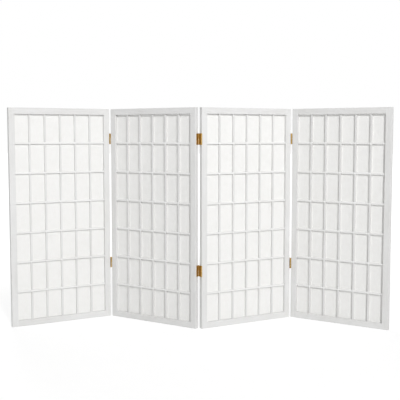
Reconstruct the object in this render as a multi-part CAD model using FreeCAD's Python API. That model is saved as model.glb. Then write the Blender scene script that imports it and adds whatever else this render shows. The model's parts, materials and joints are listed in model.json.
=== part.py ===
"""A low four-panel shoji folding screen, standing in a zigzag.

Four framed panels hang in a row on double-action hinges. Each panel is a mortise-and-tenon frame of two
through stiles and two rails, with a half-lapped lattice let into it from behind, a sheet of paper behind the
lattice and four mitred beads that hold the paper. Each hinge has two plates, one middle leaf and two pins, so
that the panels fold both ways.

Panel frame: X along the panel from its left edge, Y from the front face (0) to the back face, Z up.
Hinge frame: the same directions with the two panels in line, X = 0 in the middle of the gap between them.
The whole screen: X to the right as seen from the front, Y away from the viewer, Z up from the floor.
"""
import FreeCAD, Part
import math
import os

from FreeCAD import Placement, Rotation, Vector

# ---- driving sizes, in millimetres and degrees -----------------------------------------------------------

# panel frame
panel_height = 914.4
panel_width = 442.0
panel_thickness = 19.0
stile_width = 25.4
rail_width = 25.4
edge_bevel = 1.0             # eased outer edges of stiles and rails
tenon_length = 18.0
tenon_thickness = 7.0
tenon_shoulder = 5.0         # from the rail's edges to the tenon's edges
tenon_fit = 0.1              # glue gap round a tenon and at its end

# lattice
lattice_columns = 6
lattice_rows = 7
bar_width = 7.0
bar_depth = 9.0
bar_setback = 4.0            # from the panel's front face to the lattice's front
bar_housing = 5.0            # how far a bar's end goes into the frame
lap_fit = 0.1                # side clearance of a halving or a housing

# paper and beads
paper_thickness = 0.3
rabbet_width = 6.5           # ledge round the opening that carries the paper's edge
bead_width = 10.0
bead_setback = 0.8           # from the panel's back face to the beads' backs
bead_bevel = 2.5             # on a bead's inner back edge
rabbet_fit = 0.2             # paper and beads to the rabbet's wall

# double-action hinges
fold_angle = 61.5            # turn from one panel to the next as the screen stands
hinge_height = 46.0
hinge_sheet = 1.0            # brass sheet of plates and leaf
knuckle_clearance = 0.75     # a knuckle to the neighbouring stile's corner and to the sheets that pass it
knuckle_gap = 1.5            # between the two knuckles on a pin
plate_relief = 6.0           # a plate's free edge to the panel's face
pin_radius = 1.25
pin_fit = 0.05               # pin in its knuckles, on the radius
pin_stand_out = 0.6          # a pin's end beyond the knuckles
top_hinge_drop = 129.0       # panel's top to the upper hinge's middle
bottom_hinge_rise = 241.0    # floor to the lower hinge's middle

# ---- sizes that follow ------------------------------------------------------------------------------------

opening_width = panel_width - 2 * stile_width
opening_height = panel_height - 2 * rail_width
lattice_back = bar_setback + bar_depth
column_pitch = (opening_width + bar_width) / lattice_columns
row_pitch = (opening_height + bar_width) / lattice_rows

knuckle_radius = pin_radius + pin_fit + hinge_sheet
half_gap = knuckle_radius        # from a panel's edge to the middle of the gap, with the panels in line
corner_reach = knuckle_radius + knuckle_clearance
pin_stand_off = math.sqrt(corner_reach ** 2 - half_gap ** 2)     # pin axis to the panel's face
front_pin_y = -pin_stand_off
back_pin_y = panel_thickness + pin_stand_off
hinge_levels = {"top": panel_height - top_hinge_drop, "bottom": bottom_hinge_rise}


def box(x0, x1, y0, y1, z0, z1):
    """A block between two corners."""
    return Part.makeBox(x1 - x0, y1 - y0, z1 - z0, Vector(x0, y0, z0))


def upright_cylinder(radius, x, y, z0, z1):
    """A cylinder along Z."""
    return Part.makeCylinder(radius, z1 - z0, Vector(x, y, z0))


def edges_along(shape, direction, places):
    """The straight edges that run in a direction through any of the given (coordinates) places."""
    found = []
    for edge in shape.Edges:
        run = edge.Vertexes[-1].Point - edge.Vertexes[0].Point
        if run.Length < 1 or abs(run.normalize().dot(direction)) < 0.999:
            continue
        middle = edge.CenterOfMass
        across = middle - direction * middle.dot(direction)
        if any((across - place).Length < 1e-3 for place in places):
            found.append(edge)
    return found


# ---- lattice layout ---------------------------------------------------------------------------------------

def column_lefts():
    """Left sides of the upright bars."""
    return [stile_width + column_pitch * k - bar_width for k in range(1, lattice_columns)]


def row_bottoms():
    """Undersides of the cross bars."""
    return [rail_width + row_pitch * k - bar_width for k in range(1, lattice_rows)]


def cross_bar_housings():
    """Slots in the stiles, open to the rabbet, that take the cross bars' ends."""
    reach = bar_housing
    return [
        box(stile_width - reach, panel_width - stile_width + reach, bar_setback, panel_thickness,
            z - lap_fit, z + bar_width + lap_fit)
        for z in row_bottoms()
    ]


def upright_bar_housings():
    """Slots in the rails, open to the rabbet, that take the upright bars' ends."""
    reach = bar_housing
    return [
        box(x - lap_fit, x + bar_width + lap_fit, bar_setback, panel_thickness,
            rail_width - reach, panel_height - rail_width + reach)
        for x in column_lefts()
    ]


def rabbet():
    """The recess in the frame's back round the opening, down to the lattice's back."""
    return box(stile_width - rabbet_width, panel_width - stile_width + rabbet_width,
               lattice_back, panel_thickness,
               rail_width - rabbet_width, panel_height - rail_width + rabbet_width)


# ---- frame ------------------------------------------------------------------------------------------------

def tenon(x0, x1, z0, fit):
    """A rail's tenon, or with a fit the mortise round it, for the rail whose underside is at z0."""
    middle = lattice_back / 2
    half = tenon_thickness / 2 + fit
    return box(x0, x1, middle - half, middle + half,
               z0 + tenon_shoulder - fit, z0 + rail_width - tenon_shoulder + fit)


def stile(side):
    """A through stile with its mortises, its housings and its rabbet."""
    outer = 0.0 if side == "left" else panel_width
    inward = 1 if side == "left" else -1
    inner = outer + inward * stile_width
    blank = box(min(outer, inner), max(outer, inner), 0, panel_thickness, 0, panel_height)
    up = Vector(0, 0, 1)
    eased = edges_along(blank, up, [Vector(outer, 0, 0), Vector(outer, panel_thickness, 0)])
    blank = blank.makeChamfer(edge_bevel, eased)
    bottom_of_mortise = inner - inward * (tenon_length + tenon_fit)
    tools = [
        tenon(min(inner, bottom_of_mortise), max(inner, bottom_of_mortise), z0, tenon_fit)
        for z0 in (0, panel_height - rail_width)
    ]
    return blank.cut(tools + cross_bar_housings() + [rabbet()])


def rail(z0):
    """A rail between the stiles with a tenon at each end, its housings and its rabbet."""
    left = stile_width
    right = panel_width - stile_width
    z1 = z0 + rail_width
    blank = box(left, right, 0, panel_thickness, z0, z1)
    edge_z = z0 if z0 == 0 else z1
    along = Vector(1, 0, 0)
    eased = edges_along(blank, along, [Vector(0, 0, edge_z), Vector(0, panel_thickness, edge_z)])
    blank = blank.makeChamfer(edge_bevel, eased)
    blank = blank.fuse([tenon(left - tenon_length, left, z0, 0), tenon(right, right + tenon_length, z0, 0)])
    return blank.cut(upright_bar_housings() + [rabbet()])


# ---- lattice ----------------------------------------------------------------------------------------------

def upright_bars():
    """The upright bars, each halved from the front where a cross bar passes."""
    halfway = bar_setback + bar_depth / 2
    bars = []
    for x in column_lefts():
        bar = box(x, x + bar_width, bar_setback, lattice_back,
                  rail_width - bar_housing, panel_height - rail_width + bar_housing)
        notches = [
            box(x, x + bar_width, bar_setback, halfway, z - lap_fit, z + bar_width + lap_fit)
            for z in row_bottoms()
        ]
        bars.append(bar.cut(notches))
    return Part.makeCompound(bars)


def cross_bars():
    """The cross bars, each halved from the back where an upright bar passes."""
    halfway = bar_setback + bar_depth / 2
    bars = []
    for z in row_bottoms():
        bar = box(stile_width - bar_housing, panel_width - stile_width + bar_housing,
                  bar_setback, lattice_back, z, z + bar_width)
        notches = [
            box(x - lap_fit, x + bar_width + lap_fit, halfway, lattice_back, z, z + bar_width)
            for x in column_lefts()
        ]
        bars.append(bar.cut(notches))
    return Part.makeCompound(bars)


# ---- paper and beads --------------------------------------------------------------------------------------

def paper():
    """One sheet over the whole opening, flat on the lattice's back and the rabbet's ledge."""
    edge = rabbet_width - rabbet_fit
    return box(stile_width - edge, panel_width - stile_width + edge,
               lattice_back, lattice_back + paper_thickness,
               rail_width - edge, panel_height - rail_width + edge)


def back_beads():
    """Four mitred beads that fill the rabbet over the paper's edge, with their inner back edges bevelled."""
    front = lattice_back + paper_thickness
    back = panel_thickness - bead_setback
    edge = rabbet_width - rabbet_fit
    left, right = stile_width - edge, panel_width - stile_width + edge
    low, high = rail_width - edge, panel_height - rail_width + edge
    corners = {
        "bottom": ((left, low), (right, low)),
        "right": ((right, low), (right, high)),
        "top": ((right, high), (left, high)),
        "left": ((left, high), (left, low)),
    }
    beads = []
    for (x0, z0), (x1, z1) in corners.values():
        along = Vector(x1 - x0, 0, z1 - z0).normalize()
        inward = Vector(-along.z, 0, along.x)
        start, end = Vector(x0, front, z0), Vector(x1, front, z1)
        outline = [start, end, end + (inward - along) * bead_width, start + (inward + along) * bead_width]
        bead = Part.Face(Part.makePolygon(outline + [start])).extrude(Vector(0, back - front, 0))
        inner = start + inward * bead_width
        inner.y = back
        across = inner - along * inner.dot(along)
        beads.append(bead.makeChamfer(bead_bevel, edges_along(bead, along, [across])))
    return Part.makeCompound(beads)


# ---- hinges -----------------------------------------------------------------------------------------------

def knuckle(y, z0, z1):
    """A rolled knuckle round a pin."""
    return upright_cylinder(knuckle_radius, 0, y, z0, z1)


def pin_bore(y, height):
    """The hole for a pin right through its knuckles."""
    return upright_cylinder(pin_radius + pin_fit, 0, y, -height, height)


def left_plate():
    """The plate on the left panel's edge, with a knuckle on the upper half of the back pin."""
    half = hinge_height / 2
    underside = knuckle_gap / 2
    seat = -half_gap
    face = seat + hinge_sheet
    plate = box(seat, face, plate_relief, back_pin_y, -half, half)
    passing = math.sqrt(corner_reach ** 2 - face ** 2)
    leaf_room = box(seat, face, back_pin_y - passing, back_pin_y, -half, underside)
    plate = plate.cut(leaf_room).fuse(knuckle(back_pin_y, underside, half))
    return plate.cut(pin_bore(back_pin_y, half))


def half_turn(shape):
    """The shape turned half round about the middle of the panels' thickness, which swaps left and right."""
    turned = shape.copy()
    turned.rotate(Vector(0, panel_thickness / 2, 0), Vector(0, 0, 1), 180)
    return turned


def leaf():
    """The middle leaf, with a knuckle on the lower half of each pin."""
    half = hinge_height / 2
    top = -knuckle_gap / 2
    thin = hinge_sheet / 2
    passing = math.sqrt(corner_reach ** 2 - thin ** 2)
    web = box(-thin, thin, front_pin_y + passing, back_pin_y - passing, -half, half)
    tongue = box(-thin, thin, front_pin_y, back_pin_y, -half, top)
    shape = web.fuse([tongue] + [knuckle(y, -half, top) for y in (front_pin_y, back_pin_y)])
    return shape.cut([pin_bore(y, half) for y in (front_pin_y, back_pin_y)])


def pins():
    """The two hinge pins."""
    end = hinge_height / 2 + pin_stand_out
    return Part.makeCompound([upright_cylinder(pin_radius, 0, y, -end, end) for y in (front_pin_y, back_pin_y)])


# ---- how the panels stand ---------------------------------------------------------------------------------

def shift(x=0.0, y=0.0, z=0.0):
    return Placement(Vector(x, y, z), Rotation())


def turn(angle, y=0.0):
    """A turn about an upright axis through (0, y)."""
    return shift(y=y) * Placement(Vector(), Rotation(Vector(0, 0, 1), angle)) * shift(y=-y)


def stand():
    """Place the panels in a zigzag and give each seam the frames of its left plate, leaf and right plate.

    The side seams are folded about their front pins and the middle seam about its back pin. A leaf lies
    against the panel that its unfolded pin belongs to.
    """
    to_right_edge = shift(x=panel_width + half_gap)
    to_left_edge = shift(x=-half_gap)
    from_seam = {"left": to_right_edge.inverse(), "right": to_left_edge.inverse()}
    panels, seams = {}, {}

    panels[2] = turn(-fold_angle / 2)
    middle = panels[2] * to_right_edge
    folded = middle * turn(fold_angle, back_pin_y)
    seams["23"] = {"left": middle, "leaf": folded, "right": folded}
    panels[3] = folded * from_seam["right"]

    near = panels[2] * to_left_edge
    folded = near * turn(fold_angle, front_pin_y)
    seams["12"] = {"left": folded, "leaf": folded, "right": near}
    panels[1] = folded * from_seam["left"]

    near = panels[3] * to_right_edge
    folded = near * turn(-fold_angle, front_pin_y)
    seams["34"] = {"left": near, "leaf": near, "right": folded}
    panels[4] = folded * from_seam["right"]
    return panels, seams


def placed(shape, placement):
    """A copy of a shape, moved by a placement."""
    return shape.transformed(placement.toMatrix(), True)


def at_hinges(shape, frame):
    """Two copies of a hinge piece, at the upper and the lower hinge of a seam."""
    return {name: placed(shape, frame * shift(z=level)) for name, level in hinge_levels.items()}


def build():
    """Every piece of the screen by name, and the upright axis of every hinge pin, about the floor's middle."""
    panels, seams = stand()
    pieces = {}
    shared = {
        "left_stile": stile("left"),
        "right_stile": stile("right"),
        "top_rail": rail(panel_height - rail_width),
        "bottom_rail": rail(0),
        "upright_bars": upright_bars(),
        "cross_bars": cross_bars(),
        "paper": paper(),
        "back_beads": back_beads(),
    }
    for number, place in panels.items():
        for name, shape in shared.items():
            pieces[f"panel_{number}_{name}"] = placed(shape, place)

    plate = left_plate()
    pin_axes = {}
    for seam, frames in seams.items():
        hardware = {
            "left_plate": at_hinges(plate, frames["left"]),
            "right_plate": at_hinges(half_turn(plate), frames["right"]),
            "leaf": at_hinges(leaf(), frames["leaf"]),
            "pins": at_hinges(pins(), frames["leaf"]),
        }
        for name, pair in hardware.items():
            for level, shape in pair.items():
                pieces[f"hinge_{seam}_{level}_{name}"] = shape
        pin_axes[f"{seam}_front"] = frames["leaf"].multVec(Vector(0, front_pin_y, 0))
        pin_axes[f"{seam}_back"] = frames["leaf"].multVec(Vector(0, back_pin_y, 0))

    bounds = FreeCAD.BoundBox()
    for shape in pieces.values():
        bounds.add(shape.optimalBoundingBox(False))
    to_middle = shift(-bounds.Center.x, -bounds.Center.y)
    pieces = {name: placed(shape, to_middle) for name, shape in pieces.items()}
    pin_axes = {name: to_middle.multVec(point) for name, point in pin_axes.items()}
    return pieces, pin_axes


def main():
    os.makedirs("parts", exist_ok=True)
    pieces, pin_axes = build()
    for name, shape in sorted(pieces.items()):
        shape.exportStep(f"parts/{name}.step")
    print(f"{len(pieces)} nodes, {sum(len(s.Solids) for s in pieces.values())} solids")
    for name, point in sorted(pin_axes.items()):
        print(f"pin {name}: x {point.x:.3f}, y {point.y:.3f}")


main()
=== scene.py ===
# %% [markdown]
# # Finishing a folding paper screen
# The screen's wood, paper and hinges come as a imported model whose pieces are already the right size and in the
# right place. This lesson adds what makes them look real: a camera and soft light, a finish for each material,
# sheets of paper with a little slack in them, and the small screws and brads that hold the hinges and beads.
# Every new piece rides on the panel that carries it, so the screen still folds.

# %% Load the model
import json
import math

import bmesh
import bpy
import numpy as np
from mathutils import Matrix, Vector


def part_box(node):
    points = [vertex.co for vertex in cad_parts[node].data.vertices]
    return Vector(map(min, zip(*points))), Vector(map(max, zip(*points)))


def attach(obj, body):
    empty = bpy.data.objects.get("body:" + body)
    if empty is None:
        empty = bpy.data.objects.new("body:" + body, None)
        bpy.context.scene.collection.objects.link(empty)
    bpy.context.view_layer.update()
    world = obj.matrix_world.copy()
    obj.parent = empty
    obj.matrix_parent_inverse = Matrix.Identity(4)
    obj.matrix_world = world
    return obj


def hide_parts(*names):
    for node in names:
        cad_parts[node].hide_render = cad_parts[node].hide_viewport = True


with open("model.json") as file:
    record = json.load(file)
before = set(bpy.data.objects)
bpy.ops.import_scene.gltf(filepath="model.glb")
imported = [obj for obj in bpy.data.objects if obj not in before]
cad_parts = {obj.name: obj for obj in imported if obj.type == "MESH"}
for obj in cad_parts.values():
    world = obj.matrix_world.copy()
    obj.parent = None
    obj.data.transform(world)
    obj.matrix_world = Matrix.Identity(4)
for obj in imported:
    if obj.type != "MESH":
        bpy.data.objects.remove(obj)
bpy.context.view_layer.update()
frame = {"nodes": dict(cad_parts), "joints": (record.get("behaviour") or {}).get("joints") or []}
print("pieces in the model:", len(frame["nodes"]))

# %% [markdown]
# ## Where each panel stands
# The panels stand in a zigzag. Odd panels are turned one way about the upright axis and even panels the other
# way, by half of the turn from one panel to the next. That turn can be read from a hinge: it is how far a
# folded pin has to go back until its two panels are in line. A panel is the same all round its middle, so the
# middle of its bounding box is its own middle, and with the angle that gives a frame to place new pieces in:
# `along` runs to the right, `depth` runs from front to back and `up` is the height above the floor.

# %% Panel frames
PANELS = (1, 2, 3, 4)
PANEL_WIDTH = 0.442
PANEL_THICKNESS = 0.019

folded = next(joint for joint in frame["joints"] if joint["name"] == "fold_23_back")
HALF_FOLD = math.radians(-folded["range_deg"][0]) / 2


def panel_angle(panel):
    """Turn of a panel about the upright axis, in radians."""
    return HALF_FOLD if panel % 2 else -HALF_FOLD


def panel_middle(panel):
    """Middle of a panel on the floor, from the bounding boxes of its two stiles."""
    boxes = [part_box(f"panel_{panel}_{side}_stile") for side in ("left", "right")]
    low = np.min([box[0] for box in boxes], axis=0)
    high = np.max([box[1] for box in boxes], axis=0)
    return (low[:2] + high[:2]) / 2


def on_panel(panel, along, depth, up):
    """Points of a panel's own frame as an array of x, y, z.

    x and y are the panel's middle plus (along, depth) turned by the panel's angle, and z is up.
    """
    along, depth, up = np.broadcast_arrays(along, depth, up)
    middle = panel_middle(panel)
    cosine, sine = math.cos(panel_angle(panel)), math.sin(panel_angle(panel))
    x = middle[0] + along * cosine - depth * sine
    y = middle[1] + along * sine + depth * cosine
    return np.stack([x, y, up], axis=-1)


for panel in PANELS:
    print(f"panel {panel}: turned {math.degrees(panel_angle(panel)):.2f} degrees,",
          "middle", panel_middle(panel).round(4))

# %% [markdown]
# ## Camera
# The camera stands a little above the screen's top, 3.3 m away, and looks slightly down. A long lens keeps the
# uprights nearly parallel. Its place was found by fitting the panels' corners, so the numbers are plain values.

# %% Camera
CAMERA_PLACE = (0.103, -3.268, 0.8017)
LOOKS_DOWN = 4.806
LOOKS_LEFT = 1.78
LENS = 69.5

camera_data = bpy.data.cameras.new("camera")
camera_data.lens = LENS
camera_data.sensor_width = 36.0
camera = bpy.data.objects.new("camera", camera_data)
camera.location = CAMERA_PLACE
camera.rotation_euler = (math.radians(90 - LOOKS_DOWN), 0, math.radians(LOOKS_LEFT))
bpy.context.scene.collection.objects.link(camera)
bpy.context.scene.camera = camera
bpy.context.scene.view_settings.view_transform = "Standard"
print("camera at", tuple(camera.location), "lens", camera_data.lens, "mm")

# %% [markdown]
# ## A helper for node materials
# A material is a small graph of nodes, and it could be drawn by hand in the shader editor. Written as calls that
# make one node each and link its inputs, it is short to read and comes out the same every time. A plain number
# or colour is written on the socket itself, and a link is used only for what varies over the surface.

# %% Material helpers


def new_material(name):
    """A node material with nothing in it yet, as (material, node tree)."""
    material = bpy.data.materials.new(name)
    material.use_nodes = True
    tree = material.node_tree
    tree.nodes.clear()
    return material, tree


def add_node(tree, kind, inputs=None, **settings):
    """A node of a kind. An input is a value, or an output socket of another node to link from."""
    node = tree.nodes.new(kind)
    for name, value in settings.items():
        setattr(node, name, value)
    for name, value in (inputs or {}).items():
        if isinstance(value, bpy.types.NodeSocket):
            tree.links.new(value, node.inputs[name])
        else:
            node.inputs[name].default_value = value
    return node


def colour_ramp(tree, factor, stops):
    """A ramp through (place, colour) stops. A colour is one grey value or three channels."""
    node = add_node(tree, "ShaderNodeValToRGB", {"Fac": factor})
    elements = node.color_ramp.elements
    while len(elements) < len(stops):
        elements.new(0.5)
    for element, (place, colour) in zip(elements, stops):
        channels = (colour,) * 3 if isinstance(colour, float) else colour
        element.position = place
        element.color = (*channels, 1.0)
    return node.outputs["Color"]


def mixed(tree, factor, first, second, blend="MIX"):
    """Two colours mixed by a factor."""
    node = add_node(tree, "ShaderNodeMix", data_type="RGBA", blend_type=blend)
    for socket, value in zip((node.inputs[0], node.inputs[6], node.inputs[7]), (factor, first, second)):
        if isinstance(value, bpy.types.NodeSocket):
            tree.links.new(value, socket)
        else:
            socket.default_value = value
    return node.outputs[2]


def object_pattern(tree, scale, turn=0.0):
    """Object coordinates stretched by a scale along each axis, after a turn about the upright axis."""
    place = add_node(tree, "ShaderNodeTexCoord").outputs["Object"]
    if turn:
        place = add_node(tree, "ShaderNodeMapping", {"Vector": place, "Rotation": (0, 0, -turn)},
                         vector_type="POINT").outputs["Vector"]
    return add_node(tree, "ShaderNodeMapping", {"Vector": place, "Scale": scale},
                    vector_type="POINT").outputs["Vector"]


def noise(tree, vector, scale, detail=4.0, roughness=0.5, distortion=0.0):
    """Fractal noise as a number from 0 to 1."""
    return add_node(tree, "ShaderNodeTexNoise", {
        "Vector": vector, "Scale": scale, "Detail": detail, "Roughness": roughness,
        "Distortion": distortion,
    }).outputs["Fac"]


def close_material(tree, shader_inputs, height, height_distance, strength):
    """The surface shader with a bump from a height, linked to the output."""
    bump = add_node(tree, "ShaderNodeBump", {
        "Height": height, "Distance": height_distance, "Strength": strength,
    })
    shader = add_node(tree, "ShaderNodeBsdfPrincipled", {**shader_inputs, "Normal": bump.outputs["Normal"]})
    add_node(tree, "ShaderNodeOutputMaterial", {"Surface": shader.outputs["BSDF"]})


# %% [markdown]
# ## White painted wood
# The frame and the lattice are softwood under white satin paint. The paint hides the colour of the wood but not
# all of its relief: the growth rings still show as long faint ridges along the grain, the paint is a touch
# thinner and greyer in their valleys, and a brush leaves broad low strokes. A picture of wood would need a map
# on every piece. Noise in the object's own space needs none, and stretched along one axis it looks like grain.
# Uprights have their grain along Z. Rails and cross bars have it along their panel, so their coordinates are
# turned by the panel's angle first, and the same recipe serves all three directions. The cross bars are a
# little whiter than the frame, so the recipe also takes a tone that all its paints are multiplied by.

# %% Painted wood
PAINT_WHITE = (0.76, 0.76, 0.756)
PAINT_THIN = (0.72, 0.718, 0.71)
PAINT_STROKE = (0.778, 0.778, 0.774)
CROSS_BAR_TONE = 1.13
RINGS_PER_METRE = 260.0
STROKES_PER_METRE = 70.0
CLOUDS_PER_METRE = 6.0
PAINT_RELIEF = 0.00025


def painted_wood(name, grain_scale, turn=0.0, tone=1.0):
    """Satin white paint, brightened by a tone, over wood whose grain runs where grain_scale is small."""
    material, tree = new_material(name)
    white, thin, stroke = ((*(tone * channel for channel in paint), 1.0)
                           for paint in (PAINT_WHITE, PAINT_THIN, PAINT_STROKE))
    along_grain = object_pattern(tree, grain_scale, turn)
    rings = noise(tree, along_grain, RINGS_PER_METRE, detail=6.0, roughness=0.62, distortion=0.4)
    strokes = noise(tree, along_grain, STROKES_PER_METRE, detail=3.0, roughness=0.5)
    clouds = noise(tree, object_pattern(tree, (1, 1, 1), turn), CLOUDS_PER_METRE, detail=3.0)
    valleys = colour_ramp(tree, rings, [(0.36, 0.0), (0.62, 1.0)])
    paint = mixed(tree, valleys, thin, white)
    stroke_share = colour_ramp(tree, strokes, [(0.42, 0.0), (0.70, 0.6)])
    paint = mixed(tree, stroke_share, paint, stroke)
    soft_tone = colour_ramp(tree, clouds, [(0.35, (0.965, 0.962, 0.955)), (0.65, (1.0, 1.0, 1.0))])
    paint = mixed(tree, 1.0, paint, soft_tone, "MULTIPLY")
    gloss = colour_ramp(tree, strokes, [(0.3, 0.46), (0.7, 0.58)])
    relief = mixed(tree, 0.35, rings, strokes)
    close_material(tree, {"Base Color": paint, "Roughness": gloss, "Specular IOR Level": 0.4},
                   relief, PAINT_RELIEF, 0.6)
    return material


ACROSS, ALONG = 1.0, 0.045  # how close the pattern is across the grain and along it
wood_upright = painted_wood("painted_wood_upright", (ACROSS, ACROSS, ALONG))


def level_finishes(name, tone):
    """The finish of level pieces, one for each way a panel is turned."""
    return {turned: painted_wood(f"{name}_{side}", (ALONG, ACROSS, ACROSS), turned, tone)
            for side, turned in (("odd", HALF_FOLD), ("even", -HALF_FOLD))}


rail_paint = level_finishes("painted_wood_level", 1.0)
cross_bar_paint = level_finishes("painted_cross_bars", CROSS_BAR_TONE)
print("painted wood finishes:", 1 + len(rail_paint) + len(cross_bar_paint))

# %% [markdown]
# ## Paper
# Screen paper is made of long plant fibres that lie mostly upright in the sheet. Seen close, it is a soft white
# ground with slightly cloudy thickness and fine paler and darker threads. Modelled threads would be thousands of
# strands that show only as a tone, so they are made from noise that is stretched along Z, bent by a second
# noise and cut to thin lines by a ramp. All of it stays faint: from across a room the sheet is plain white, and
# only close to does it turn out to be made of fibres.

# %% Paper finish
PAPER_WHITE = (0.862, 0.859, 0.846)
PAPER_DENSE = (0.842, 0.838, 0.822)
PAPER_THREAD = (0.885, 0.883, 0.874)
THREADS_PER_METRE = 420.0
THREAD_STRETCH = 0.09
THREAD_BEND = 0.012
BENDS_PER_METRE = 18.0
PULP_PER_METRE = 45.0
PAPER_RELIEF = 0.00008


def paper_finish(name):
    """Fibrous white paper with a matte surface."""
    material, tree = new_material(name)
    place = object_pattern(tree, (1, 1, 1))
    drift = add_node(tree, "ShaderNodeTexNoise", {
        "Vector": place, "Scale": BENDS_PER_METRE, "Detail": 2.0,
    }).outputs["Color"]
    bent = add_node(tree, "ShaderNodeMix", data_type="VECTOR")
    bent.inputs[0].default_value = THREAD_BEND
    tree.links.new(place, bent.inputs[4])
    tree.links.new(drift, bent.inputs[5])
    upright = add_node(tree, "ShaderNodeMapping", {
        "Vector": bent.outputs[1], "Scale": (1, 1, THREAD_STRETCH),
    }).outputs["Vector"]
    threads = noise(tree, upright, THREADS_PER_METRE, detail=5.0, roughness=0.6)
    pulp = noise(tree, place, PULP_PER_METRE, detail=5.0, roughness=0.6)
    ground = colour_ramp(tree, pulp, [(0.30, PAPER_DENSE), (0.62, PAPER_WHITE)])
    lines = colour_ramp(tree, threads, [(0.54, 0.0), (0.66, 0.75)])
    colour = mixed(tree, lines, ground, (*PAPER_THREAD, 1))
    shadow_lines = colour_ramp(tree, threads, [(0.30, 0.5), (0.42, 0.0)])
    colour = mixed(tree, shadow_lines, colour, (*PAPER_DENSE, 1))
    relief = mixed(tree, 0.25, threads, pulp)
    close_material(tree, {"Base Color": colour, "Roughness": 0.92, "Specular IOR Level": 0.15},
                   relief, PAPER_RELIEF, 0.3)
    return material


paper = paper_finish("fibrous_paper")
print("paper finish:", paper.name)

# %% [markdown]
# ## Aged brass
# The hinges are thin pressed brass that has dulled. The sheet is brown-gold, paler where hands have kept it
# clean and darker in small stains, and fine lines from rolling run up it. Stains could be painted on by hand,
# but then every plate, leaf and pin would need its own. Noise differs from place to place by itself. Roughness
# follows it, so that the metal is glossy where it is clean.

# %% Aged brass finish
BRASS_CLEAN = (0.65, 0.435, 0.14)
BRASS_DULL = (0.385, 0.238, 0.072)
BRASS_STAIN = (0.16, 0.095, 0.035)
STAINS_PER_METRE = 130.0
SPOTS_PER_METRE = 600.0
ROLLING_LINES_PER_METRE = 2600.0
BRASS_RELIEF = 0.00006


def aged_brass(name):
    """Dulled brass sheet with stains and fine upright rolling lines."""
    material, tree = new_material(name)
    place = object_pattern(tree, (1, 1, 1))
    stains = noise(tree, place, STAINS_PER_METRE, detail=6.0, roughness=0.65)
    spots = noise(tree, place, SPOTS_PER_METRE, detail=3.0, roughness=0.6)
    lines = noise(tree, object_pattern(tree, (1, 1, 0.03)), ROLLING_LINES_PER_METRE, detail=2.0)
    worn = colour_ramp(tree, stains, [(0.32, 0.0), (0.68, 1.0)])
    colour = mixed(tree, worn, (*BRASS_DULL, 1), (*BRASS_CLEAN, 1))
    dark = colour_ramp(tree, spots, [(0.30, 0.6), (0.40, 0.0)])
    colour = mixed(tree, dark, colour, (*BRASS_STAIN, 1))
    gloss = colour_ramp(tree, stains, [(0.36, 0.52), (0.66, 0.30)])
    relief = mixed(tree, 0.5, lines, spots)
    close_material(tree, {"Base Color": colour, "Roughness": gloss, "Metallic": 1.0},
                   relief, BRASS_RELIEF, 0.5)
    return material


brass = aged_brass("aged_brass_sheet")
print("brass finish:", brass.name)

# %% [markdown]
# ## Finish on the model's pieces
# The finishes could be picked by hand for each of the model's pieces, but a piece's name already says what it
# is, so a short function reads the finish from the name. Bars and rails that run across a panel need the
# finish whose grain is turned with that panel.

# %% Dress the model's pieces


def finish_for(name):
    """The finish of a model piece."""
    if name.startswith("hinge_"):
        return brass
    if name.endswith("_paper"):
        return paper
    if name.endswith(("_rail", "_cross_bars")):
        level_paint = rail_paint if name.endswith("_rail") else cross_bar_paint
        return level_paint[panel_angle(int(name.split("_")[1]))]
    return wood_upright


for name, node in frame["nodes"].items():
    node.data.materials.clear()
    node.data.materials.append(finish_for(name))
print("dressed", len(frame["nodes"]), "pieces")

# %% [markdown]
# ## From a grid of points to a mesh
# The new pieces could be put together from ready shapes and modifiers. A formula is used instead, because it
# puts every point where it is wanted, and one helper then serves paper, screws and brads. Each piece is an
# array of points in rows and columns, worked out in one go, and the faces join neighbouring points. When a row
# comes round to its start, the last column joins the first.

# %% Surface helper
MERGE_DISTANCE = 1e-7  # points closer than this become one


def grid_faces(rows, columns, closed_columns):
    """Corner numbers of the quads between neighbouring points, counted row by row."""
    row = np.arange(rows - 1)[:, None]
    column = np.arange(columns if closed_columns else columns - 1)[None, :]
    right = (column + 1) % columns
    corners = [row * columns + column, row * columns + right,
               (row + 1) * columns + right, (row + 1) * columns + column]
    return np.stack([np.broadcast_to(c, np.broadcast_shapes(row.shape, column.shape)) for c in corners],
                    axis=-1).reshape(-1, 4)


def surface_piece(name, grids, closed_columns, finish, body, smooth=True, painted_shade=None):
    """One piece from a stack of point grids of the same shape, with doubled points at its poles merged."""
    copies, rows, columns, _ = grids.shape
    faces = grid_faces(rows, columns, closed_columns)
    steps = np.arange(copies)[:, None, None] * rows * columns
    all_faces = (faces[None] + steps).reshape(-1, 4)
    mesh = bpy.data.meshes.new(name)
    mesh.from_pydata(grids.reshape(-1, 3), [], all_faces.tolist())
    # A per-point share of painted shade, which the screw finish turns near black.
    if painted_shade is not None:
        mesh.attributes.new("painted_shade", "FLOAT", "POINT").data.foreach_set("value", painted_shade.ravel().astype(np.float32))
    tidy = bmesh.new()
    tidy.from_mesh(mesh)
    bmesh.ops.remove_doubles(tidy, verts=tidy.verts, dist=MERGE_DISTANCE)
    bmesh.ops.recalc_face_normals(tidy, faces=tidy.faces)
    tidy.to_mesh(mesh)
    tidy.free()
    mesh.polygons.foreach_set("use_smooth", np.full(len(mesh.polygons), smooth))
    mesh.materials.append(finish)
    piece = bpy.data.objects.new(name, mesh)
    bpy.context.scene.collection.objects.link(piece)
    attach(piece, body)
    return piece


# %% [markdown]
# ## Floor, world and lamps
# The screen stands in a white studio. The floor near it takes a soft shadow and fades to plain white further
# out. The world is white where the camera or a reflection looks at it, and a gentle grey-white for lighting.
# One soft lamp high on the right in front gives the odd panels more light than the even ones, and a wide weak
# one behind lights the backs.

# %% Stage
WORLD_LIGHT = 0.36

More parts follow.
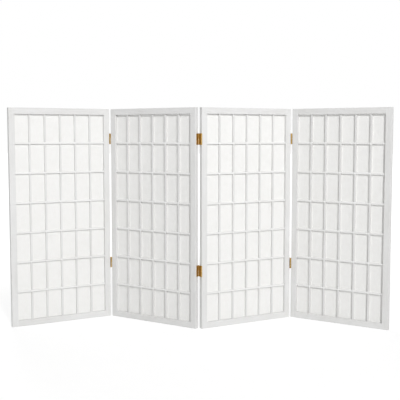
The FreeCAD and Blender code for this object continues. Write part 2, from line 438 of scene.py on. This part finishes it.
world = bpy.data.worlds.new("studio")
bpy.context.scene.world = world
world.use_nodes = True
world.node_tree.nodes.clear()
path = add_node(world.node_tree, "ShaderNodeLightPath")
seen = add_node(world.node_tree, "ShaderNodeMath", {0: path.outputs["Is Camera Ray"]}, operation="MAXIMUM")
world.node_tree.links.new(path.outputs["Is Glossy Ray"], seen.inputs[1])
seen_all = add_node(world.node_tree, "ShaderNodeMath", {0: seen.outputs[0]}, operation="MAXIMUM")
world.node_tree.links.new(path.outputs["Is Transmission Ray"], seen_all.inputs[1])
soft_light = add_node(world.node_tree, "ShaderNodeBackground", {"Color": (1, 1, 1, 1), "Strength": WORLD_LIGHT})
white_view = add_node(world.node_tree, "ShaderNodeBackground", {"Color": (1, 1, 1, 1), "Strength": 1.0})
chosen = add_node(world.node_tree, "ShaderNodeMixShader", {"Fac": seen_all.outputs[0]})
world.node_tree.links.new(soft_light.outputs[0], chosen.inputs[1])
world.node_tree.links.new(white_view.outputs[0], chosen.inputs[2])
add_node(world.node_tree, "ShaderNodeOutputWorld", {"Surface": chosen.outputs[0]})
print("world light", WORLD_LIGHT)

# %% [markdown]
# The floor is one large flat sheet. Its shader mixes two things: a pale matte surface that takes the screen's
# shadow, and plain white for what the camera and reflections see. The share of plain white grows with the
# distance from the screen, so the floor has no edge and no horizon.

# %% Floor
FLOOR_REACH = 30.0
FLOOR_GREY = 0.9
FLOOR_WHITE = 1.2
SHADOW_SHARE = 0.40
FADE_FROM, FADE_TO = 0.9, 2.6


def floor_finish(name):
    """Pale matte floor near the screen that turns into plain white with distance, for the camera's eyes."""
    material, tree = new_material(name)
    place = add_node(tree, "ShaderNodeTexCoord").outputs["Object"]
    distance = add_node(tree, "ShaderNodeVectorMath", {0: place}, operation="LENGTH").outputs["Value"]
    fade = add_node(tree, "ShaderNodeMapRange", {
        "Value": distance, "From Min": FADE_FROM, "From Max": FADE_TO, "To Min": 1 - SHADOW_SHARE, "To Max": 1.0,
    }, interpolation_type="SMOOTHSTEP").outputs["Result"]
    rays = add_node(tree, "ShaderNodeLightPath")
    eye = add_node(tree, "ShaderNodeMath", {0: rays.outputs["Is Camera Ray"], 1: rays.outputs["Is Glossy Ray"]},
                   operation="MAXIMUM").outputs[0]
    eye = add_node(tree, "ShaderNodeMath", {0: eye, 1: rays.outputs["Is Transmission Ray"]},
                   operation="MAXIMUM").outputs[0]
    share = add_node(tree, "ShaderNodeMath", {0: eye, 1: fade}, operation="MULTIPLY").outputs[0]
    matte = add_node(tree, "ShaderNodeBsdfDiffuse", {"Color": (FLOOR_GREY,) * 3 + (1,)}).outputs[0]
    white = add_node(tree, "ShaderNodeEmission", {"Color": (1, 1, 1, 1), "Strength": FLOOR_WHITE}).outputs[0]
    both = add_node(tree, "ShaderNodeMixShader", {"Fac": share})
    tree.links.new(matte, both.inputs[1])
    tree.links.new(white, both.inputs[2])
    add_node(tree, "ShaderNodeOutputMaterial", {"Surface": both.outputs[0]})
    return material


ends = np.array([-FLOOR_REACH, FLOOR_REACH])
floor_x, floor_y = np.meshgrid(ends, ends)
floor_points = np.stack([floor_x, floor_y, np.zeros_like(floor_x)], axis=-1)
floor_mesh = bpy.data.meshes.new("floor")
floor_mesh.from_pydata(floor_points.reshape(-1, 3), [], grid_faces(2, 2, False).tolist())
floor_mesh.materials.append(floor_finish("studio_floor"))
floor = bpy.data.objects.new("floor", floor_mesh)
bpy.context.scene.collection.objects.link(floor)
print("floor", 2 * FLOOR_REACH, "m across")

# %% [markdown]
# A lamp's place decides which panels are bright and where the bars' shadows fall on the paper. The main lamp
# stands 17 degrees to the right of the front and 28 degrees up. From there it faces the odd panels nearly
# squarely and the even ones at a slant, and each bar of an even panel throws a shadow a little wider than
# itself to its left. It is 9 m away, so that all four panels get the same amount of light. The lamp behind is
# wide and weak.

# %% Lamps
LAMP_AIM = (0.0, 0.0, 0.45)


def soft_lamp(name, place, size, watts):
    """A square lamp that shines at the middle of the screen.

    It is tilted by the angle between straight up and the line from the aim to the lamp, and turned to that
    line's bearing.
    """
    data = bpy.data.lights.new(name, "AREA")
    data.shape = "SQUARE"
    data.size = size
    data.energy = watts
    lamp = bpy.data.objects.new(name, data)
    lamp.location = place
    away = np.array(place) - np.array(LAMP_AIM)
    tilt = math.acos(away[2] / np.linalg.norm(away))
    lamp.rotation_euler = (tilt, 0, math.atan2(away[1], away[0]) + math.pi / 2)
    bpy.context.scene.collection.objects.link(lamp)
    return lamp


main_lamp = soft_lamp("main_lamp", place=(2.39, -7.58, 4.68), size=0.8, watts=480.0)
back_lamp = soft_lamp("back_lamp", place=(-1.6, 4.2, 2.6), size=2.0, watts=105.0)
print("lamps:", main_lamp.name, back_lamp.name)

# %% [markdown]
# ## Paper sheets
# The model's paper is a flat sheet. Real paper is glued to the bars while damp and dries taut, but it keeps a
# little slack in the middle of each window of the lattice, which shows as a slow change of tone. A bump in the
# material could fake that, but the sheet would still be flat when seen along it. So each new sheet is a grid of
# points over the same area. Its depth is the flat sheet's depth plus a low bulge in each window that falls to
# nothing at the bars, and each window bulges by a different amount.

# %% Paper sheets
STILE_WIDTH = 0.0254
BAR_WIDTH = 0.007
COLUMNS, ROWS = 6, 7
LATTICE_BACK = 0.013  # from a panel's front face to the back of its bars
RABBET_REACH = 0.0063  # how far the paper goes over the frame on each side
PAPER_FRONT = LATTICE_BACK - PANEL_THICKNESS / 2
PAPER_THICKNESS = 0.0003
PAPER_HALF_WIDTH = PANEL_WIDTH / 2 - STILE_WIDTH + RABBET_REACH
SLACK = 0.0007
STEPS_ACROSS, STEPS_UP = 10, 20


def window_phase(place, opening, windows):
    """Place inside a window from 0 to 1, and the window's number, for places measured from the opening's edge.

    The number is the place divided by the pitch, rounded down. What is left over is divided by the window's
    clear width, which is the pitch less one bar.
    """
    pitch = (opening + BAR_WIDTH) / windows
    number = np.clip(np.floor(place / pitch), 0, windows - 1)
    inside = np.clip((place - number * pitch) / (pitch - BAR_WIDTH), 0, 1)
    return inside, number


def paper_bulge(across, up, opening_width, opening_height):
    """Depth of the slack: sin squared across the window times sin squared up it, times the window's own share.

    The share is 0.6 plus 0.4 times a sine of the window's column and row numbers, so it differs from one
    window to the next and is the same at every run.
    """
    inside_x, column = window_phase(across, opening_width, COLUMNS)
    inside_z, row = window_phase(up, opening_height, ROWS)
    share = 0.6 + 0.4 * np.sin(2.3 * column + 1.7 * row + 0.9 * column * row)
    return SLACK * share * np.sin(np.pi * inside_x) ** 2 * np.sin(np.pi * inside_z) ** 2


def sheet_of_paper(panel):
    """One panel's paper, front and back, as a closed thin sheet in place of the model's flat one.

    Each row of points runs along the front and returns along the back, one paper thickness behind it. A row at
    the bottom and one at the top lie halfway between the two and close the sheet.
    """
    bottom, top = (corner[2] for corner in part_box(f"panel_{panel}_paper"))
    opening_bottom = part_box(f"panel_{panel}_bottom_rail")[1][2]
    opening_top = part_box(f"panel_{panel}_top_rail")[0][2]
    opening_width = PANEL_WIDTH - 2 * STILE_WIDTH
    along = np.linspace(-PAPER_HALF_WIDTH, PAPER_HALF_WIDTH, COLUMNS * STEPS_ACROSS + 1)
    up = np.linspace(bottom, top, ROWS * STEPS_UP + 1)
    across_grid, up_grid = np.meshgrid(along, up)
    bulge = paper_bulge(across_grid + opening_width / 2, up_grid - opening_bottom,
                        opening_width, opening_top - opening_bottom)
    front = on_panel(panel, across_grid, PAPER_FRONT + bulge, up_grid)
    back = on_panel(panel, across_grid, PAPER_FRONT + PAPER_THICKNESS + bulge, up_grid)
    loop = np.concatenate([front, back[:, ::-1]], axis=1)
    bottom_edge, top_edge = ((front[row] + back[row]) / 2 for row in (0, -1))
    closing = [np.concatenate([edge, edge[::-1]])[None] for edge in (bottom_edge, top_edge)]
    grids = np.concatenate([closing[0], loop, closing[1]])[None]
    piece = surface_piece(f"panel_{panel}_paper_sheet", grids, True, paper, f"panel_{panel}")
    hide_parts(f"panel_{panel}_paper")
    return piece, bulge.max()


for panel in PANELS:
    piece, deepest = sheet_of_paper(panel)
    print(piece.name, "points", len(piece.data.vertices), f"deepest slack {deepest * 1000:.2f} mm")

# %% [markdown]
# ## Screws in the hinge plates
# Each brass plate is held by two small slotted wood screws, sunk flush so that the hinge can close. The slot
# could be cut with a Boolean modifier, which leaves thin uneven faces round it. Here the head is a surface in
# rows that run along the slot: every row is a chord of the round head, and the rows inside the slot lie lower.
# A number on each point says whether it is in the slot or how near the rim it is, and the finish is darker
# there: painted shade, standing for the depth of the slot and for the gap round the head.

# %% Screw finish
SCREW_BRASS = (0.70, 0.52, 0.24)
SCREW_DULL = (0.50, 0.35, 0.14)
# painted shade: near black in the slot and round the head's rim, where the head meets the plate
SCREW_PAINTED_SHADE = (0.035, 0.025, 0.015)
SCREW_MARKS_PER_METRE = 900.0
SCREW_RELIEF = 0.00004


def screw_finish(name):
    """Brass screw head, painted near black as shade where the per-point shading attribute is 1: in the slot and
    round the rim.
    """
    material, tree = new_material(name)
    painted_shade = add_node(tree, "ShaderNodeAttribute", attribute_name="painted_shade").outputs["Fac"]
    marks = noise(tree, object_pattern(tree, (1, 1, 1)), SCREW_MARKS_PER_METRE, detail=3.0)
    metal = colour_ramp(tree, marks, [(0.35, SCREW_DULL), (0.62, SCREW_BRASS)])
    # Near black mixed in as painted shade in the slot and round the rim.
    colour = mixed(tree, painted_shade, metal, (*SCREW_PAINTED_SHADE, 1))
    gloss = colour_ramp(tree, marks, [(0.3, 0.48), (0.7, 0.28)])
    close_material(tree, {"Base Color": colour, "Roughness": gloss, "Metallic": 1.0},
                   marks, SCREW_RELIEF, 0.4)
    return material


screw_brass = screw_finish("screw_brass")
print("screw finish:", screw_brass.name)

# %% Screws
HEAD_RADIUS = 0.0027
HEAD_RISE = 0.00012
SLOT_HALF_WIDTH = 0.00036
RIM_WIDTH = 0.0003
SUNK = 0.0003  # how far a head or a brad goes below the surface
SCREW_SPREAD = 0.015  # from a plate's middle up or down to a screw
PLATE_SHEET = 0.001
PLATE_OFF_MIDDLE = 0.0028  # from the middle of the stile's edge to the line of screws


def head_rows():
    """Distances of the rows from the slot's middle.

    There is one row just inside each edge of the slot and one just outside it. The others are at R sin a for
    equal steps of a, so they are closer together towards the rim.
    """
    outer = HEAD_RADIUS * np.sin(np.linspace(0, np.pi / 2, 8)[2:])
    edge = np.array([SLOT_HALF_WIDTH * 0.98, SLOT_HALF_WIDTH * 1.06])
    one_side = np.concatenate([edge, outer])
    return np.concatenate([-one_side[::-1], one_side])


def screw_head(slot_turn):
    """A slotted head about its own middle, as (points, painted shade share): x and y in the plate's plane, z out of
    it.

    Row s is a chord of half length sqrt(R^2 - s^2). The height is the head's rise, less inside the slot,
    and falls to the plate along the rim. The loop of each row closes under the plate's face.
    """
    rows = head_rows()[:, None]
    share = np.sin(np.linspace(-np.pi / 2, np.pi / 2, 13))[None, :]
    chord = np.sqrt(np.clip(HEAD_RADIUS ** 2 - rows ** 2, 0, None)) * share
    from_rim = HEAD_RADIUS - np.hypot(rows, chord)
    rim = np.clip(from_rim / RIM_WIDTH, 0, 1)
    in_slot = (np.abs(rows) < SLOT_HALF_WIDTH) * np.ones_like(share)
    height = HEAD_RISE * rim * (1 - 0.85 * in_slot)
    # Painted shade: 1 in the slot and rising towards the rim, standing for the slot's depth and the gap round the
    # head.
    painted_shade = np.maximum(in_slot, 0.8 * (1 - rim))
    x = np.concatenate([chord, chord[:, ::-1]], axis=1)
    y = np.broadcast_to(rows, x.shape)
    z = np.concatenate([height, np.full_like(height, -SUNK)], axis=1)
    painted_shade = np.concatenate([painted_shade, np.ones_like(painted_shade)], axis=1)
    cosine, sine = math.cos(slot_turn), math.sin(slot_turn)
    return np.stack([x * cosine - y * sine, x * sine + y * cosine, z], axis=-1), painted_shade


def screws_on(panel):
    """All screw heads on a panel's two edges, as one piece."""
    heads, shades = [], []
    for side, plate, seam in ((1, "left_plate", panel), (-1, "right_plate", panel - 1)):
        for level in ("top", "bottom"):
            node = f"hinge_{seam}{seam + 1}_{level}_{plate}"
            if node not in frame["nodes"]:
                continue
            low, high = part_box(node)
            for step in (-1, 1):
                # No two slots stop at the same angle, and a sum of the screw's own numbers gives each one its turn.
                slot_turn = 0.7 * panel + 1.9 * step + 1.1 * side + (0.5 if level == "top" else 0.0)
                points, painted_shade = screw_head(slot_turn)
                along = side * (PANEL_WIDTH / 2 + PLATE_SHEET + points[..., 2])
                up = (low[2] + high[2]) / 2 + step * SCREW_SPREAD + points[..., 1]
                heads.append(on_panel(panel, along, side * PLATE_OFF_MIDDLE + points[..., 0], up))
                shades.append(painted_shade)
    return np.array(heads), np.array(shades)


for panel in PANELS:
    heads, shades = screws_on(panel)
    piece = surface_piece(f"panel_{panel}_hinge_screws", heads, True, screw_brass, f"panel_{panel}",
                          smooth=False, painted_shade=shades)
    print(piece.name, "heads", len(heads), "points", len(piece.data.vertices))

# %% [markdown]
# ## Brads in the beads
# The four beads on the back of each panel are pinned with small steel brads, painted over with the frame. They
# could be dots in the paint, but a dot catches no light, so each brad is a low dome: a quarter circle turned
# about its axis, with a short skirt that goes into the wood. It has few points, because there are many of them.

# %% Brads
BRAD_RADIUS = 0.0009
BRAD_RISE = 0.00035
BEAD_SETBACK = 0.0008  # from a panel's back face to the beads' backs
BEAD_BACK = PANEL_THICKNESS / 2 - BEAD_SETBACK
BEAD_MIDDLE = 0.005
BRADS_UP, BRADS_ACROSS = 7, 4
FROM_END_UP, FROM_END_ACROSS = 0.045, 0.04
ROUND_STEPS = 12


def brad_dome():
    """A dome turned about its axis: radius R cos a and height H sin a over a quarter turn, then the skirt."""
    quarter = np.linspace(np.pi / 2, 0, 5)
    radius = np.concatenate([BRAD_RADIUS * np.cos(quarter), [BRAD_RADIUS, 0.0]])
    height = np.concatenate([BRAD_RISE * np.sin(quarter), [-SUNK, -SUNK]])
    turn = np.linspace(0, 2 * np.pi, ROUND_STEPS, endpoint=False)
    return np.stack([radius[:, None] * np.cos(turn), radius[:, None] * np.sin(turn),
                     np.broadcast_to(height[:, None], (len(height), ROUND_STEPS))], axis=-1)


def brad_places(panel):
    """Along and up places of the brads, evenly spaced in the middle of the four beads."""
    low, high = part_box(f"panel_{panel}_back_beads")
    side_line = PAPER_HALF_WIDTH - BEAD_MIDDLE
    up = np.linspace(low[2] + FROM_END_UP, high[2] - FROM_END_UP, BRADS_UP)
    across = np.linspace(-side_line + FROM_END_ACROSS, side_line - FROM_END_ACROSS, BRADS_ACROSS)
    uprights = [(side, z) for side in (-side_line, side_line) for z in up]
    levels = [(x, z) for z in (low[2] + BEAD_MIDDLE, high[2] - BEAD_MIDDLE) for x in across]
    return np.array(uprights + levels)


for panel in PANELS:
    dome = brad_dome()[None]
    places = brad_places(panel)
    along = places[:, 0, None, None] + dome[..., 0]
    up = places[:, 1, None, None] + dome[..., 1]
    depth = BEAD_BACK + dome[..., 2] + 0 * along
    piece = surface_piece(f"panel_{panel}_bead_brads", on_panel(panel, along, depth, up), True, wood_upright,
                          f"panel_{panel}")
    print(piece.name, "brads", len(places), "points", len(piece.data.vertices))
